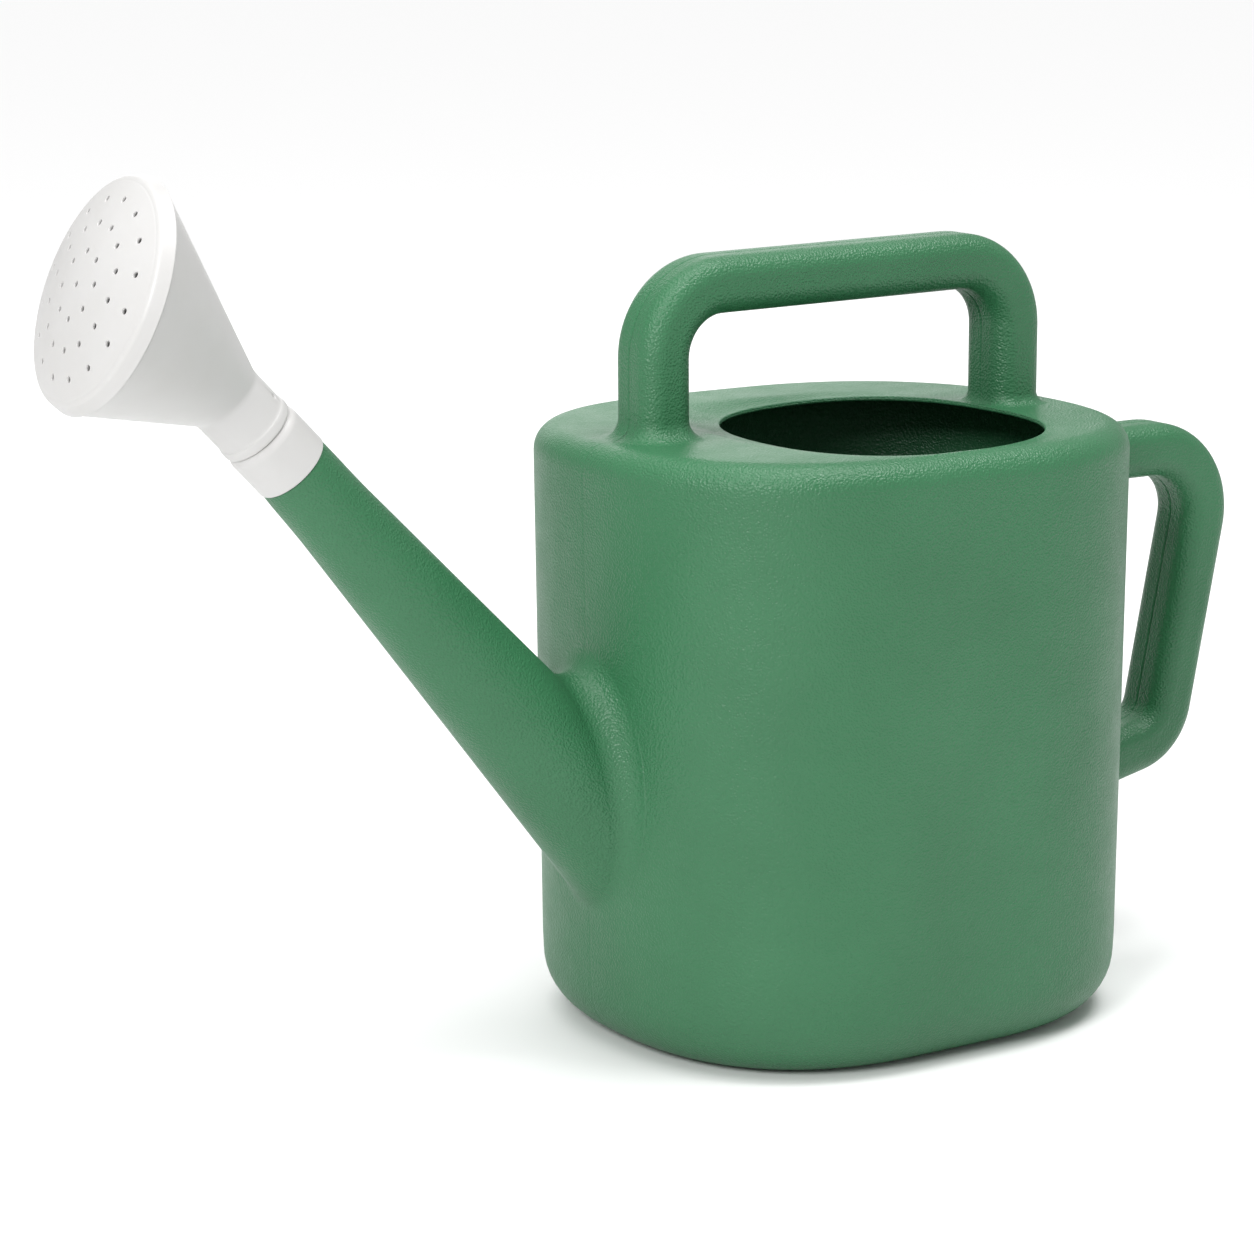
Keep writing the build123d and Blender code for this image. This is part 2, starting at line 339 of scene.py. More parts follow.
def root_fillet(ring: Array, heading: Array, ground: Ground, radius: Array) -> Array:
    """Carries a tube's end ring down to a surface and joins the two with a rolled fillet.

    Each column meets the surface at P. Square to the line of contact, the tube and the surface
    leave P at an angle a to each other, and a ball of radius R in that corner touches both at
    R / tan(a / 2) from P. The arc between the two touches is the rational quadratic Bezier with
    P as its middle point and weight sin(a / 2). A narrow hem runs on just under the surface.

    Args:
        ring: end of the tube, clear of the surface, shape (u, 3).
        heading: unit direction of each column towards the surface, shape (u, 3) or (3,).
        ground: the surface.
        radius: radius of the fillet, per column.

    Returns:
        Rings from two hidden ones below the surface up to the tube, shape (v, u, 3).
    """
    low = np.zeros((len(ring), 1))
    high = np.full((len(ring), 1), REACH)
    for _ in range(40):
        middle = (low + high) / 2
        clear = ground.outside(ring + middle * heading)[:, None] > 0
        low, high = np.where(clear, middle, low), np.where(clear, high, middle)
    meet = ring + low * heading
    step = 0.05
    here = ground.outside(meet)
    normal = unit(np.stack([ground.outside(meet + step * axis) - here for axis in np.eye(3)], axis=1))
    contact = unit(np.roll(meet, -1, axis=0) - np.roll(meet, 1, axis=0))
    away = unit(np.cross(contact, normal))
    away *= np.sign(dot(away, meet - meet.mean(axis=0)))
    back = -heading + dot(heading * np.ones_like(meet), contact) * contact
    lean = np.linalg.norm(back, axis=1, keepdims=True)
    half = np.arccos(np.clip(dot(back / lean, away), -1.0, 1.0)) / 2
    touch = radius[:, None] / np.tan(half)
    spread = np.minimum(touch, ground.room(meet)[:, None])
    end = ground.settle(meet + spread * away)
    start = meet - touch / lean * heading
    t = (1 - np.cos(np.linspace(0.0, math.pi, 19)))[:, None, None] / 2
    weight = np.sin(half)
    share = (1 - t) ** 2 + 2 * t * (1 - t) * weight + t**2
    bend = ((1 - t) ** 2 * end + 2 * t * (1 - t) * weight * meet + t**2 * start) / share
    hem = np.clip(ground.room(meet)[:, None] - spread, HEM_MIN, HEM_MAX)
    hidden = ground.settle(meet + (spread + hem) * away) - HEM_DIP * normal
    return np.concatenate([(hidden - HEM_SINK * normal)[None], hidden[None], bend])


def filleted_path(corners: Sequence[tuple[float, float]], radii: Sequence[float]) -> tuple[Array, Array]:
    """Samples straight runs in the plane y = 0 joined by tangent arcs.

    Args:
        corners: (x, z) of the ends and of the corners between them.
        radii: radius of the arc at each inner corner.

    Returns:
        Points and unit tangents, each of shape (n, 3).
    """
    flat = np.array(corners, dtype=float)
    points: list[Array] = [flat[:1]]
    tangents: list[Array] = [unit(flat[1:2] - flat[:1])]
    for before, here, after, radius in zip(flat[:-2], flat[1:-1], flat[2:], radii):
        arrive, leave = unit(here - before), unit(after - here)
        turn = math.acos(float(arrive @ leave))
        side = unit(leave - (leave @ arrive) * arrive)
        start = here - arrive * radius * math.tan(turn / 2)
        sweep = np.linspace(0.0, turn, 25)[:, None]
        points.append(start + radius * (np.sin(sweep) * arrive + (1 - np.cos(sweep)) * side))
        tangents.append(np.cos(sweep) * arrive + np.sin(sweep) * side)
    points.append(flat[-1:])
    tangents.append(tangents[-1][-1:])
    return tuple(np.insert(np.concatenate(part), 1, 0.0, axis=1) for part in (points, tangents))


# --- Finishes ---


class NodeSheet:
    """A material's node tree, with short ways to add and link nodes."""

    def __init__(self, name: str) -> None:
        """Starts an empty principled material."""
        self.material = bpy.data.materials.new(name)
        self.material.use_nodes = True
        self.tree = self.material.node_tree
        self.shader = self.tree.nodes["Principled BSDF"]
        self.coordinates = self.add("ShaderNodeTexCoord").outputs["Object"]

    def add(self, kind: str, **values: object) -> bpy.types.Node:
        """Adds a node and sets its properties, and its inputs where no property has the name."""
        node = self.tree.nodes.new(kind)
        for key, value in values.items():
            if hasattr(node, key):
                setattr(node, key, value)
            else:
                node.inputs[key.replace("_", " ").title()].default_value = value
        return node

    def link(self, source: Socket, target: Socket) -> None:
        """Joins two sockets."""
        self.tree.links.new(source, target)

    def feed(self, name: str, source: Socket) -> None:
        """Joins a socket to the shader's input of that name."""
        self.link(source, self.shader.inputs[name])

    def hold(self, name: str, value: float | Sequence[float]) -> None:
        """Gives the shader's input of that name a constant."""
        self.shader.inputs[name].default_value = value

    def noise(self, scale: float, detail: float = 3.0, roughness: float = 0.5) -> Socket:
        """Fractal noise on object coordinates, in cycles per metre."""
        node = self.add("ShaderNodeTexNoise", scale=scale, detail=detail, roughness=roughness)
        self.link(self.coordinates, node.inputs["Vector"])
        return node.outputs["Fac"]

    def ramp(
        self, source: Socket, low: float, high: float, to_low: float = 0.0, to_high: float = 1.0
    ) -> Socket:
        """Maps one range onto another, held at its ends."""
        node = self.add("ShaderNodeMapRange", from_min=low, from_max=high, to_min=to_low, to_max=to_high)
        self.link(source, node.inputs["Value"])
        return node.outputs["Result"]

    def mix(self, factor: Socket, first: Sequence[float], second: Sequence[float]) -> Socket:
        """Blends two colours by a factor."""
        node = self.add("ShaderNodeMix", data_type="RGBA")
        self.link(factor, node.inputs[0])
        node.inputs[6].default_value = (*first, 1.0)
        node.inputs[7].default_value = (*second, 1.0)
        return node.outputs[2]

    def bump(self, height: Socket, strength: float, distance: float, below: Socket | None = None) -> Socket:
        """Turns a height into a normal, on top of another bump if one is given."""
        node = self.add("ShaderNodeBump", strength=strength, distance=distance)
        self.link(height, node.inputs["Height"])
        if below is not None:
            self.link(below, node.inputs["Normal"])
        return node.outputs["Normal"]


@dataclass(frozen=True)
class CanPlastic:
    """Satin green polyethylene with the fine leathery grain of a blow mould.

    Attributes:
        deep: colour in the thicker, darker patches.
        light: colour in the thinner patches.
        grain: size of the grain's cells, in metres.
        relief: height of the grain, in metres.
        roughness: range of the uneven gloss.
    """

    deep: Triple = (0.030, 0.148, 0.062)
    light: Triple = (0.036, 0.167, 0.072)
    grain: float = 0.00095
    relief: float = 0.0007
    roughness: tuple[float, float] = (0.35, 0.45)

    def build(self) -> Material:
        """Returns the material: mottled colour, uneven gloss, grain and fine orange peel."""
        sheet = NodeSheet("green_can_plastic")
        patches = sheet.ramp(sheet.noise(14.0, detail=4.0), 0.35, 0.65)
        sheet.feed("Base Color", sheet.mix(patches, self.deep, self.light))
        gloss = sheet.noise(60.0, detail=5.0, roughness=0.6)
        sheet.feed("Roughness", sheet.ramp(gloss, 0.3, 0.7, *self.roughness))
        warp = sheet.add("ShaderNodeTexNoise", scale=0.35 / self.grain, detail=2.0)
        sheet.link(sheet.coordinates, warp.inputs["Vector"])
        shift = sheet.add("ShaderNodeMix", data_type="VECTOR")
        shift.inputs[0].default_value = 0.0008
        sheet.link(sheet.coordinates, shift.inputs[4])
        sheet.link(warp.outputs["Color"], shift.inputs[5])
        cells = sheet.add("ShaderNodeTexVoronoi", feature="SMOOTH_F1", smoothness=0.6)
        cells.inputs["Scale"].default_value = 1.0 / self.grain
        sheet.link(shift.outputs[1], cells.inputs["Vector"])
        peel = sheet.bump(sheet.noise(420.0, detail=3.0), 0.12, 0.0004)
        grain = sheet.bump(cells.outputs["Distance"], 0.56, self.relief, peel)
        sheet.feed("Normal", grain)
        sheet.hold("IOR", 1.5)
        sheet.hold("Specular IOR Level", 0.5)
        return sheet.material


@dataclass(frozen=True)
class RosePlastic:
    """Smooth white polypropylene, slightly greyer in patches and faintly uneven."""

    clean: Triple = (0.6, 0.595, 0.587)
    shaded: Triple = (0.582, 0.575, 0.564)
    roughness: tuple[float, float] = (0.34, 0.42)

    def build(self) -> Material:
        """Returns the material: near-even white, satin gloss and faint sink marks."""
        sheet = NodeSheet("white_rose_plastic")
        patches = sheet.ramp(sheet.noise(35.0, detail=3.0), 0.35, 0.65)
        sheet.feed("Base Color", sheet.mix(patches, self.clean, self.shaded))
        gloss = sheet.noise(120.0, detail=4.0)
        sheet.feed("Roughness", sheet.ramp(gloss, 0.3, 0.7, *self.roughness))
        sheet.feed("Normal", sheet.bump(sheet.noise(260.0, detail=2.0), 0.05, 0.0004))
        sheet.hold("Subsurface Weight", 0.10)
        sheet.hold("Subsurface Radius", (0.004, 0.004, 0.0038))
        sheet.hold("Subsurface Scale", 1.0)
        sheet.hold("IOR", 1.49)
        return sheet.material


@dataclass(frozen=True)
class SealRubber:
    """Black rubber with a dull, slightly dusty surface."""

    dark: Triple = (0.018, 0.018, 0.019)
    dusty: Triple = (0.045, 0.044, 0.042)

    def build(self) -> Material:
        """Returns the material: two blacks in fine patches, with a matt grain."""
        sheet = NodeSheet("black_seal_rubber")
        dust = sheet.ramp(sheet.noise(900.0, detail=5.0), 0.4, 0.7)
        sheet.feed("Base Color", sheet.mix(dust, self.dark, self.dusty))
        sheet.hold("Roughness", 0.7)
        sheet.feed("Normal", sheet.bump(sheet.noise(3000.0), 0.2, 0.0002))
        return sheet.material


def dress(piece: Piece, material: Material, body: Body, slot: Slot, *nodes: str) -> Piece:
    """Gives a new piece its finish and its body, and hides the CAD nodes it stands for."""
    piece.data.materials.append(material)
    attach(piece, body.value)
    if nodes:
        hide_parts(*nodes)
    log.info("%s: %d faces, rides on %s", piece.name, len(piece.data.polygons), body.value)
    return piece


# --- The can: tank, spout and handles of one moulding ---


@dataclass
class Tank:
    """Obround tank with a dished deck, a side-set mouth and a recessed foot.

    Its plan is a superellipse with a short straight middle. The wall is that plan drawn in by
    the draft, and the shoulder and foot are quarter circles of inset against height.
    """

    height: float = 250.0
    half_length: float = 121.0
    half_width: float = 106.3
    straight: float = 17.8
    plan_power: float = 2.3
    draft: float = math.tan(math.radians(0.55))
    shoulder: float = 11.3
    foot: float = 25.2
    wall: float = 2.0
    mouth_x: float = 14.9
    mouth_y: float = -14.0
    mouth_half_x: float = 60.5
    mouth_half_y: float = 72.3
    mouth_power: float = 2.29
    dish: float = 1.8
    rim_slope: float = 2.0
    dish_width: float = 9.0
    front_dish: float = 11.0
    lip_round: float = 0.8
    deck_crowding: float = 1.4
    least_room: float = 0.4
    contact_band: float = 9.0
    contact_edge: float = 2.0
    recess: float = 2.4
    recess_ramp: float = 6.0
    columns: int = 320
    seam_width: float = 0.45
    seam_depth: float = 0.10
    plan: Array = field(init=False)
    plan_normals: Array = field(init=False)

    def __post_init__(self) -> None:
        """Works out the plan once, for every ring."""
        loop = superellipse(self.half_length, self.half_width, self.plan_power, self.straight)
        self.plan = resample_loop(loop, self.columns, self.seam_width)
        self.plan_normals = loop_normals(self.plan)

    def outline(self, inset: float, z: float) -> Array:
        """Plan drawn in square to itself by an inset, at a height."""
        flat = self.plan - inset * self.plan_normals
        return np.column_stack([flat, np.full(len(flat), z)])

    def mouth_ratio(self, x: Array, y: Array) -> Array:
        """Superelliptic distance from the mouth's centre, 1 on its edge."""
        along = np.abs((x - self.mouth_x) / self.mouth_half_x) ** self.mouth_power
        across = np.abs((y - self.mouth_y) / self.mouth_half_y) ** self.mouth_power
        return (along + across) ** (1 / self.mouth_power)

    def deck_height(self, x: Array, y: Array) -> Array:
        """Height of the deck, which eases down to the mouth's sloping rim.

        The rim lies a dish below the deck at the mouth's middle, deeper in front and level
        with the deck at the rear. The ease is wider in front of the mouth than beside it.
        """
        forward = (self.mouth_x - x) / self.mouth_half_x
        drop = np.maximum(self.dish + self.rim_slope * forward, 0.0)
        width = self.dish_width + self.front_dish * smooth_step(forward)
        return self.height - drop * (1 - smooth_step(self.mouth_margin(x, y) / width))

    def mouth_margin(self, x: Array, y: Array) -> Array:
        """Distance out from the mouth's edge, near enough."""
        return (self.mouth_ratio(x, y) - 1) * self.mouth_half_x

    def wall_reach(self, y: Array, z: Array) -> Array:
        """Distance of the end wall from the middle, at a side distance and a height."""
        bulge = (1 - np.abs(y / self.half_width) ** self.plan_power) ** (1 / self.plan_power)
        return self.straight + (self.half_length - self.straight) * bulge - self.draft * (self.height - z)

    def top_ground(self) -> Ground:
        """The deck, where fillets stop short of the mouth."""
        return Ground(
            outside=lambda p: p[:, 2] - self.deck_height(p[:, 0], p[:, 1]),
            settle=lambda p: np.column_stack([p[:, :2], self.deck_height(p[:, 0], p[:, 1])]),
            room=lambda p: np.maximum(
                self.mouth_margin(p[:, 0], p[:, 1]) - self.lip_round, self.least_room
            ),
        )

    def end_ground(self, side: int) -> Ground:
        """The front (-1) or rear (+1) wall, measured along X."""
        return Ground(
            outside=lambda p: side * p[:, 0] - self.wall_reach(p[:, 1], p[:, 2]),
            settle=lambda p: np.column_stack([side * self.wall_reach(p[:, 1], p[:, 2]), p[:, 1:]]),
        )

    def arc(self, radius: float, inset: float, z: float, up: bool) -> list[Array]:
        """Quarter-circle rings of the foot (up from the ground) or the shoulder (up to the deck)."""
        turn = np.linspace(0.0, math.pi / 2, 13)
        drawn = radius * (1 - np.sin(turn)) if up else radius * (1 - np.cos(turn))
        rise = radius * (1 - np.cos(turn)) if up else radius * np.sin(turn)
        return [self.outline(inset + d, z + r) for d, r in zip(drawn, rise)]

    def skin(self, thickness: float) -> Array:
        """Rings of one face of the wall, from the middle of the floor up to the deck's edge.

        Args:
            thickness: 0 for the outer face, or the wall's thickness for the inner one.

        Returns:
            Rings, shape (v, u, 3).
        """
        narrow = self.draft * self.height + thickness
        foot, shoulder = self.foot - thickness, self.shoulder - thickness
        flat = narrow + foot
        ramp = flat + self.contact_band
        inner = ramp + self.recess_ramp
        middle = self.outline(inner, thickness + self.recess)
        floor = [middle * (k, k, 1) for k in (0.04, 0.2, 0.4, 0.6, 0.8, 1.0)]
        ease = np.linspace(0.0, 1.0, 7)[1:]
        falls = self.recess * (1 - smooth_step(ease))
        climb = [
            self.outline(inner - self.recess_ramp * t, thickness + float(fall))
            for t, fall in zip(ease, falls)
        ]
        contact = self.outline(flat + self.contact_edge, thickness)
        rings = [*floor, *climb, contact, *self.arc(foot, narrow, thickness, True)]
        top = self.height - self.shoulder
        rise = np.linspace(self.foot, top, 30)[1:-1]
        rings += [self.outline(thickness + self.draft * (self.height - z), z) for z in rise]
        lean = self.draft * self.shoulder
        drawn = np.stack(self.arc(shoulder, thickness, top, False))
        drawn[..., :2] -= lean * np.linspace(1.0, 0.0, len(drawn))[:, None, None] * self.plan_normals
        return np.concatenate([np.stack(rings), drawn])

    def deck(self, edge: Array, thickness: float) -> Array:
        """Rings from the shoulder to the mouth, on straight lines towards the mouth's centre."""
        reach = edge[:, :2] - (self.mouth_x, self.mouth_y)
        ratio = self.mouth_ratio(edge[:, 0], edge[:, 1])[:, None]
        lip = (self.mouth_x, self.mouth_y) + reach / ratio
        t = (1 - (1 - np.linspace(0.0, 1.0, 17)[1:]) ** self.deck_crowding)[:, None, None]
        flat = edge[None, :, :2] * (1 - t) + lip[None] * t
        z = self.deck_height(flat[..., 0], flat[..., 1]) - thickness
        return np.concatenate([flat, z[..., None]], axis=2)

    def build(self) -> Array:
        """Returns the whole wall: outer face, deck, rounded lip and inner face, pole to pole."""
        outer, inner = self.skin(0.0), self.skin(self.wall)
        deck_out = self.deck(outer[-1], 0.0)
        deck_in = self.deck(inner[-1], self.wall)
        normals = grid_normals(np.concatenate([outer, deck_out]))
        pressed = np.zeros(len(self.plan))
        pressed[[0, len(self.plan) // 2]] = self.seam_depth
        face = np.concatenate([outer, deck_out]) - normals * pressed[None, :, None]
        edge = face[-1]
        away = unit(edge - deck_out[-3])
        down = np.array([0.0, 0.0, -1.0])
        corner_top = edge + away * self.lip_round
        corner_low = corner_top + down * self.wall
        lip = rounded_rings(
            np.stack([edge, corner_top, corner_low, deck_in[-1]]),
            [0.0, self.lip_round, self.lip_round, 0.0],
        )
        return np.concatenate([face, lip[1:], deck_in[-2::-1], inner[::-1]])


@dataclass
class Handle:
    """Hollow-moulded handle: a rounded rectangle carried along a bent centre line.

    Attributes:
        corners: (x, z) of the centre line's ends and corners.
        bends: radii of its arcs.
        start_fillet, end_fillet: radii of the two root fillets.
    """

    corners: Sequence[tuple[float, float]]
    bends: Sequence[float]
    start_fillet: float
    end_fillet: float
    thickness: float = 23.2
    width: float = 28.6
    corner: float = 8.5
    columns: int = 72
    seam_width: float = 0.5
    seam_depth: float = 0.42

    def build(self, ground: Ground) -> Array:
        """Returns rings from one root to the other, over the surface that both stand on."""
        loop = rounded_rectangle(self.thickness / 2, self.width / 2, self.corner)
        pressed = resample_loop(loop, self.columns, self.seam_width)
        half = len(pressed) // 2
        pressed[0, 0] -= self.seam_depth
        pressed[half, 0] += self.seam_depth
        points, tangents = filleted_path(self.corners, self.bends)
        inward = np.cross(Y_AXIS, tangents)
        tube = points[:, None] + pressed[None, :, :1] * inward[:, None] + pressed[None, :, 1:] * Y_AXIS
        columns = np.ones(len(pressed))
        first = root_fillet(tube[0], -tangents[0], ground, columns * self.start_fillet)
        last = root_fillet(tube[-1], tangents[-1], ground, columns * self.end_fillet)
        return densify(np.concatenate([first, tube[1:-1], last[::-1]]), 6.0)


@dataclass
class Spout:
    """Tapered spout: a skewed cone between two parallel circles, with a stepped spigot.

    Near its end the cone swells a little to meet the collar: r = cone + swell * ease(1 - s/l).
    """

    neck: Datum
    root: Datum
    root_radius: float = 30.5
    cone_tip: float = 14.53
    swell: float = 0.7
    swell_length: float = 29.0
    spigot_radius: float = 13.4
    spigot_length: float = 10.3
    bore_radius: float = 11.6
    bore_depth: float = 45.0
    root_fillet: float = 10.5
    columns: int = 128
    seam_width: float = 0.5
    seam_depth: float = 0.16

    def ring(self, datum: Datum, distance: float, radius: float) -> Array:
        """Circle with close columns beside the two seams."""
        turn = turns(DENSE)
        circle = radius * np.stack([np.cos(turn), np.sin(turn)], axis=1)
        seam = self.seam_width * radius / self.cone_tip
        flat = resample_loop(circle, self.columns, seam)
        return datum.place(flat[:, 0], flat[:, 1], np.full(len(flat), distance))

    def build(self, tank: Tank) -> Array:
        """Returns rings from the fillet on the tank's front to the bottom of the bore."""
        tip = self.ring(self.neck, 0.0, self.cone_tip)
        foot = self.ring(self.root, 0.0, self.root_radius)
        heading = unit(foot - tip)
        fillet = root_fillet(tip, heading, tank.end_ground(-1), np.full(len(tip), self.root_fillet))
        outward = unit(tip - self.neck.origin)
        before_tip = np.linspace(self.swell_length, 0.0, 12)[:, None, None]
        ease = smooth_step(1 - before_tip / self.swell_length)
        swelling = tip + before_tip * heading + self.swell * ease * outward
        spigot = [
            (0.0, self.cone_tip + self.swell, 0.35),
            (0.0, self.spigot_radius, 0.25),
            (self.spigot_length, self.spigot_radius, 0.4),
            (self.spigot_length, self.bore_radius, 0.4),
            (-self.bore_depth, self.bore_radius, 0.0),
        ]
        corners = np.stack([swelling[-2]] + [self.ring(self.neck, s, r) for s, r, _ in spigot])
        end_piece = rounded_rings(corners, [0.0] + [cut for *_, cut in spigot])
        cone = densify(np.concatenate([fillet[-1:], swelling[:-2], end_piece]), 5.0)
        skin = np.concatenate([fillet[:-1], cone])
        pressed = np.zeros(len(tip))
        pressed[[0, len(tip) // 2]] = self.seam_depth
        return skin - grid_normals(skin) * pressed[None, :, None]


@dataclass
class Can:
    """The one moulding: tank, spout, top handle and rear handle."""

    tank: Tank
    spout: Spout
    top_handle: Handle
    rear_handle: Handle
    finish: CanPlastic

    def build(self) -> list[Piece]:
        """Makes the four skins and gives them one finish."""
        tank = self.tank
        skins = {
            "tank": grid_object("can_tank", tank.build()),
            "spout": grid_object("can_spout", self.spout.build(tank)),
            "top_handle": grid_object("can_top_handle", self.top_handle.build(tank.top_ground())),
            "rear_handle": grid_object("can_rear_handle", self.rear_handle.build(tank.end_ground(1))),
        }
        material = self.finish.build()
        return [dress(piece, material, Body.CAN, Slot.CAN, node) for node, piece in skins.items()]


# --- The rose: collar, neck with cone, and perforated cap ---


@dataclass
class Collar:
    """White sleeve on the spigot, bevelled towards the rose, with the web that carries the neck."""

    neck: Datum
    radius: float = 15.7
    start: float = 0.2
    front: float = 20.05
    web: float = 15.8
    bevel_length: float = 2.6
    bevel_depth: float = 1.3
    bore: float = 13.45
    web_bore: float = 9.55
    columns: int = 160

    def build(self, material: Material) -> Piece:
        """Makes the sleeve from a closed profile turned about the neck's axis."""
        profile = [
            (self.start, self.bore, CRISP),
            (self.start, self.radius, 0.35),
            (self.front - self.bevel_length, self.radius, 1.2),
            (self.front, self.radius - self.bevel_depth, 0.4),
            (self.front, self.web_bore, CRISP),
            (self.web, self.web_bore, CRISP),
            (self.web, self.bore, 0.5),
        ]
        grid = turned([(self.neck, *stop) for stop in profile], self.columns)
        piece = grid_object("spout_collar_sleeve", grid, closed=True)
        return dress(piece, material, Body.COLLAR, Slot.ROSE, "spout_collar")


@dataclass
class RoseCone:
    """Neck and oblique cone in one moulding, from the journal's catch to the cap's land."""

    neck: Datum
    face: Datum
    radius: float = 14.9
    start: float = 20.2
    end: float = 39.8
    bead_radius: float = 15.4
    bead_length: float = 3.5
    bead_slope: float = 1.6
    journal_radius: float = 9.5
    journal_start: float = 13.3
    catch_radius: float = 10.4
    catch_length: float = 2.2
    waterway: float = 7.5
    wall: float = 2.4
    cone_wall: float = 2.2
    cone_radius: float = 45.6
    cone_back: float = 5.8
    land_radius: float = 43.4
    land_front: float = 1.6
    dimple_along: float = 28.8
    dimple_turn: float = math.radians(-37.0)
    dimple_radius: float = 1.0
    dimple_depth: float = 1.3
    columns: int = 256

    def build(self, material: Material) -> Piece:
        """Makes the moulding from rings about the neck, then about the face's axis, and back inside."""
        neck, face = self.neck, self.face
        catch_end = self.journal_start + self.catch_length
        bead_end = self.start + self.bead_length
        inner = self.radius - self.wall
        floor = self.start + self.wall
        rim_bore = self.land_radius - self.cone_wall
        reach = 1.1 * self.dimple_radius
        dimple_rings = [
            (neck, self.dimple_along + offset, self.radius, 0.0)
            for offset in np.linspace(-reach, reach, 11)
        ]
        profile = [
            (neck, self.journal_start, self.waterway, CRISP),
            (neck, self.journal_start, self.catch_radius, 0.5),
            (neck, catch_end, self.catch_radius, CRISP),
            (neck, catch_end, self.journal_radius, CRISP),
            (neck, self.start, self.journal_radius, CRISP),
            (neck, self.start, self.bead_radius, 1.3),
            (neck, bead_end, self.bead_radius, 0.7),
            (neck, bead_end + self.bead_slope, self.radius, 0.7),
            *dimple_rings,
            (neck, self.end, self.radius, 1.6),
            (face, -self.cone_back, self.cone_radius, 0.4),
            (face, -self.cone_back, self.land_radius, CRISP),
            (face, -self.land_front, self.land_radius, CRISP),
            (face, -self.land_front, rim_bore, CRISP),
            (face, -self.cone_back - 1.0, rim_bore, 1.0),
            (neck, self.end, inner, 2.5),
            (neck, floor, inner, 1.0),
            (neck, floor, self.waterway, 0.5),
        ]
        grid = self.press_dimple(turned(profile, self.columns))
        piece = grid_object("rose_neck_and_cone", grid, closed=True)
        return dress(piece, material, Body.ROSE, Slot.ROSE, "rose_cone")

    def press_dimple(self, grid: Array) -> Array:
        """Sinks a small bowl into the neck: depth falls off with the square of the distance."""
        side = math.sin(self.dimple_turn) * Y_AXIS + math.cos(self.dimple_turn) * self.neck.up
        spot = self.neck.origin + self.dimple_along * self.neck.along + self.radius * side
        gap = np.linalg.norm(grid - spot, axis=2)[..., None]
        return grid - side * self.dimple_depth * np.clip(1 - (gap / self.dimple_radius) ** 2, 0, 1)


